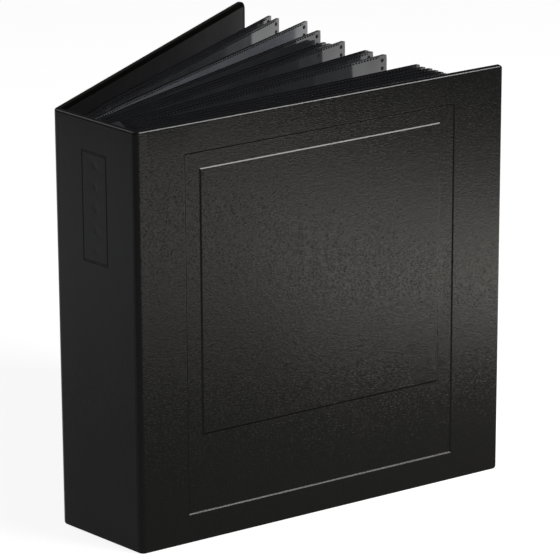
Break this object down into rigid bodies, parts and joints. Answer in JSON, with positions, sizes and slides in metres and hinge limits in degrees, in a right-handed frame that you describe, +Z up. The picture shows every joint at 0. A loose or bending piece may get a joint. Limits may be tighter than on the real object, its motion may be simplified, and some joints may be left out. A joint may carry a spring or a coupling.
{
  "type": "photo pocket album",
  "caption": "Hardcover pocket album for instant prints, standing on its bottom edges with both covers ajar and its clear-pocket leaves fanned.",
  "frame": {"origin": "middle of the spine's bottom edge face, half the case thickness inside its outer face", "axes": "+Z up along the spine, +X from the spine to the fore-edge, -Y towards the front cover, +Y towards the rear cover"},
  "size_m": [0.229, 0.2018, 0.245],
  "materials": {
    "leatherette": "fine-grained black imitation leather, satin",
    "greyboard": "raw grey bookbinding board",
    "cover_lining": "matt black lining paper",
    "leaf_sheet": "black polypropylene sheet, fine matt",
    "pocket_film": "clear glossy polypropylene film",
    "leaf_roots": "black polypropylene, welded edges"
  },
  "bodies": {
    "spine": {"spine_skin": "leatherette", "spine_board": "greyboard", "spine_lining": "cover_lining", "front_joint_strip": "leatherette", "rear_joint_strip": "leatherette", "binding_strip": "leaf_roots", "leaf_root_block": "leaf_roots"},
    "front_cover": {"front_cover_skin": "leatherette", "front_cover_board": "greyboard", "front_cover_lining": "cover_lining"},
    "rear_cover": {"rear_cover_skin": "leatherette", "rear_cover_board": "greyboard", "rear_cover_lining": "cover_lining"},
    "leaf_01": {"leaf_01_sheet": "leaf_sheet", "leaf_01_film": "pocket_film"},
    "leaf_02": {"leaf_02_sheet": "leaf_sheet", "leaf_02_film": "pocket_film"},
    "leaf_03": {"leaf_03_sheet": "leaf_sheet", "leaf_03_film": "pocket_film"},
    "leaf_04": {"leaf_04_sheet": "leaf_sheet", "leaf_04_film": "pocket_film"},
    "leaf_05": {"leaf_05_sheet": "leaf_sheet", "leaf_05_film": "pocket_film"},
    "leaf_06": {"leaf_06_sheet": "leaf_sheet", "leaf_06_film": "pocket_film"},
    "leaf_07": {"leaf_07_sheet": "leaf_sheet", "leaf_07_film": "pocket_film"},
    "leaf_08": {"leaf_08_sheet": "leaf_sheet", "leaf_08_film": "pocket_film"},
    "leaf_09": {"leaf_09_sheet": "leaf_sheet", "leaf_09_film": "pocket_film"},
    "leaf_10": {"leaf_10_sheet": "leaf_sheet", "leaf_10_film": "pocket_film"},
    "leaf_11": {"leaf_11_sheet": "leaf_sheet", "leaf_11_film": "pocket_film"},
    "leaf_12": {"leaf_12_sheet": "leaf_sheet", "leaf_12_film": "pocket_film"},
    "leaf_13": {"leaf_13_sheet": "leaf_sheet", "leaf_13_film": "pocket_film"},
    "leaf_14": {"leaf_14_sheet": "leaf_sheet", "leaf_14_film": "pocket_film"},
    "leaf_15": {"leaf_15_sheet": "leaf_sheet", "leaf_15_film": "pocket_film"},
    "leaf_16": {"leaf_16_sheet": "leaf_sheet", "leaf_16_film": "pocket_film"},
    "leaf_17": {"leaf_17_sheet": "leaf_sheet", "leaf_17_film": "pocket_film"},
    "leaf_18": {"leaf_18_sheet": "leaf_sheet", "leaf_18_film": "pocket_film"},
    "leaf_19": {"leaf_19_sheet": "leaf_sheet", "leaf_19_film": "pocket_film"},
    "leaf_20": {"leaf_20_sheet": "leaf_sheet", "leaf_20_film": "pocket_film"}
  },
  "joints": [
    {"name": "front_cover_hinge", "type": "hinge", "parent": "spine", "child": "front_cover", "pos_m": [0.0021, -0.029, 0], "axis": [0, 0, 1], "range_deg": [-75, 15]},
    {"name": "rear_cover_hinge", "type": "hinge", "parent": "spine", "child": "rear_cover", "pos_m": [0.0021, 0.029, 0], "axis": [0, 0, 1], "range_deg": [-19, 71]},
    {"name": "leaf_01_crease", "type": "hinge", "parent": "spine", "child": "leaf_01", "pos_m": [0.0055, -0.0266, 0], "axis": [0, 0, 1], "range_deg": [-68.51, 13.71]},
    {"name": "leaf_02_crease", "type": "hinge", "parent": "spine", "child": "leaf_02", "pos_m": [0.0071, -0.0238, 0], "axis": [0, 0, 1], "range_deg": [-67.01, 13.41]},
    {"name": "leaf_03_crease", "type": "hinge", "parent": "spine", "child": "leaf_03", "pos_m": [0.0087, -0.021, 0], "axis": [0, 0, 1], "range_deg": [-65.51, 13.11]},
    {"name": "leaf_04_crease", "type": "hinge", "parent": "spine", "child": "leaf_04", "pos_m": [0.0103, -0.0182, 0], "axis": [0, 0, 1], "range_deg": [-64.01, 12.81]},
    {"name": "leaf_05_crease", "type": "hinge", "parent": "spine", "child": "leaf_05", "pos_m": [0.0119, -0.0154, 0], "axis": [0, 0, 1], "range_deg": [-62.51, 12.51]},
    {"name": "leaf_06_crease", "type": "hinge", "parent": "spine", "child": "leaf_06", "pos_m": [0.0135, -0.0126, 0], "axis": [0, 0, 1], "range_deg": [-61.01, 12.21]},
    {"name": "leaf_07_crease", "type": "hinge", "parent": "spine", "child": "leaf_07", "pos_m": [0.0151, -0.0098, 0], "axis": [0, 0, 1], "range_deg": [-59.51, 11.91]},
    {"name": "leaf_08_crease", "type": "hinge", "parent": "spine", "child": "leaf_08", "pos_m": [0.0167, -0.007, 0], "axis": [0, 0, 1], "range_deg": [-57.01, 11.41]},
    {"name": "leaf_09_crease", "type": "hinge", "parent": "spine", "child": "leaf_09", "pos_m": [0.0183, -0.0042, 0], "axis": [0, 0, 1], "range_deg": [-53.02, 10.62]},
    {"name": "leaf_10_crease", "type": "hinge", "parent": "spine", "child": "leaf_10", "pos_m": [0.0199, -0.0014, 0], "axis": [0, 0, 1], "range_deg": [-51.02, 10.22]},
    {"name": "leaf_11_crease", "type": "hinge", "parent": "spine", "child": "leaf_11", "pos_m": [0.0215, 0.0014, 0], "axis": [0, 0, 1], "range_deg": [-14.51, 2.91]},
    {"name": "leaf_12_crease", "type": "hinge", "parent": "spine", "child": "leaf_12", "pos_m": [0.0231, 0.0042, 0], "axis": [0, 0, 1], "range_deg": [-3.01, 0.61]},
    {"name": "leaf_13_crease", "type": "hinge", "parent": "spine", "child": "leaf_13", "pos_m": [0.0247, 0.007, 0], "axis": [0, 0, 1], "range_deg": [-2.02, 0.42]},
    {"name": "leaf_14_crease", "type": "hinge", "parent": "spine", "child": "leaf_14", "pos_m": [0.0151, 0.0098, 0], "axis": [0, 0, 1], "range_deg": [-3.92, 14.59]},
    {"name": "leaf_15_crease", "type": "hinge", "parent": "spine", "child": "leaf_15", "pos_m": [0.0135, 0.0126, 0], "axis": [0, 0, 1], "range_deg": [-5.91, 22.06]},
    {"name": "leaf_16_crease", "type": "hinge", "parent": "spine", "child": "leaf_16", "pos_m": [0.0119, 0.0154, 0], "axis": [0, 0, 1], "range_deg": [-6.21, 23.18]},
    {"name": "leaf_17_crease", "type": "hinge", "parent": "spine", "child": "leaf_17", "pos_m": [0.0103, 0.0182, 0], "axis": [0, 0, 1], "range_deg": [-6.62, 24.68]},
    {"name": "leaf_18_crease", "type": "hinge", "parent": "spine", "child": "leaf_18", "pos_m": [0.0087, 0.021, 0], "axis": [0, 0, 1], "range_deg": [-8.41, 31.4]},
    {"name": "leaf_19_crease", "type": "hinge", "parent": "spine", "child": "leaf_19", "pos_m": [0.0071, 0.0238, 0], "axis": [0, 0, 1], "range_deg": [-13.01, 48.59]},
    {"name": "leaf_20_crease", "type": "hinge", "parent": "spine", "child": "leaf_20", "pos_m": [0.0055, 0.0266, 0], "axis": [0, 0, 1], "range_deg": [-13.72, 51.21]}
  ],
  "couplings": [
    {"joint": "leaf_01_crease", "follows": "front_cover_hinge", "ratio": 0.9133},
    {"joint": "leaf_02_crease", "follows": "front_cover_hinge", "ratio": 0.8933},
    {"joint": "leaf_03_crease", "follows": "front_cover_hinge", "ratio": 0.8733},
    {"joint": "leaf_04_crease", "follows": "front_cover_hinge", "ratio": 0.8533},
    {"joint": "leaf_05_crease", "follows": "front_cover_hinge", "ratio": 0.8333},
    {"joint": "leaf_06_crease", "follows": "front_cover_hinge", "ratio": 0.8133},
    {"joint": "leaf_07_crease", "follows": "front_cover_hinge", "ratio": 0.7933},
    {"joint": "leaf_08_crease", "follows": "front_cover_hinge", "ratio": 0.76},
    {"joint": "leaf_09_crease", "follows": "front_cover_hinge", "ratio": 0.7067},
    {"joint": "leaf_10_crease", "follows": "front_cover_hinge", "ratio": 0.68},
    {"joint": "leaf_11_crease", "follows": "front_cover_hinge", "ratio": 0.1933},
    {"joint": "leaf_12_crease", "follows": "front_cover_hinge", "ratio": 0.04},
    {"joint": "leaf_13_crease", "follows": "front_cover_hinge", "ratio": 0.0267},
    {"joint": "leaf_14_crease", "follows": "rear_cover_hinge", "ratio": 0.2053},
    {"joint": "leaf_15_crease", "follows": "rear_cover_hinge", "ratio": 0.3105},
    {"joint": "leaf_16_crease", "follows": "rear_cover_hinge", "ratio": 0.3263},
    {"joint": "leaf_17_crease", "follows": "rear_cover_hinge", "ratio": 0.3474},
    {"joint": "leaf_18_crease", "follows": "rear_cover_hinge", "ratio": 0.4421},
    {"joint": "leaf_19_crease", "follows": "rear_cover_hinge", "ratio": 0.6842},
    {"joint": "leaf_20_crease", "follows": "rear_cover_hinge", "ratio": 0.7211}
  ]
}
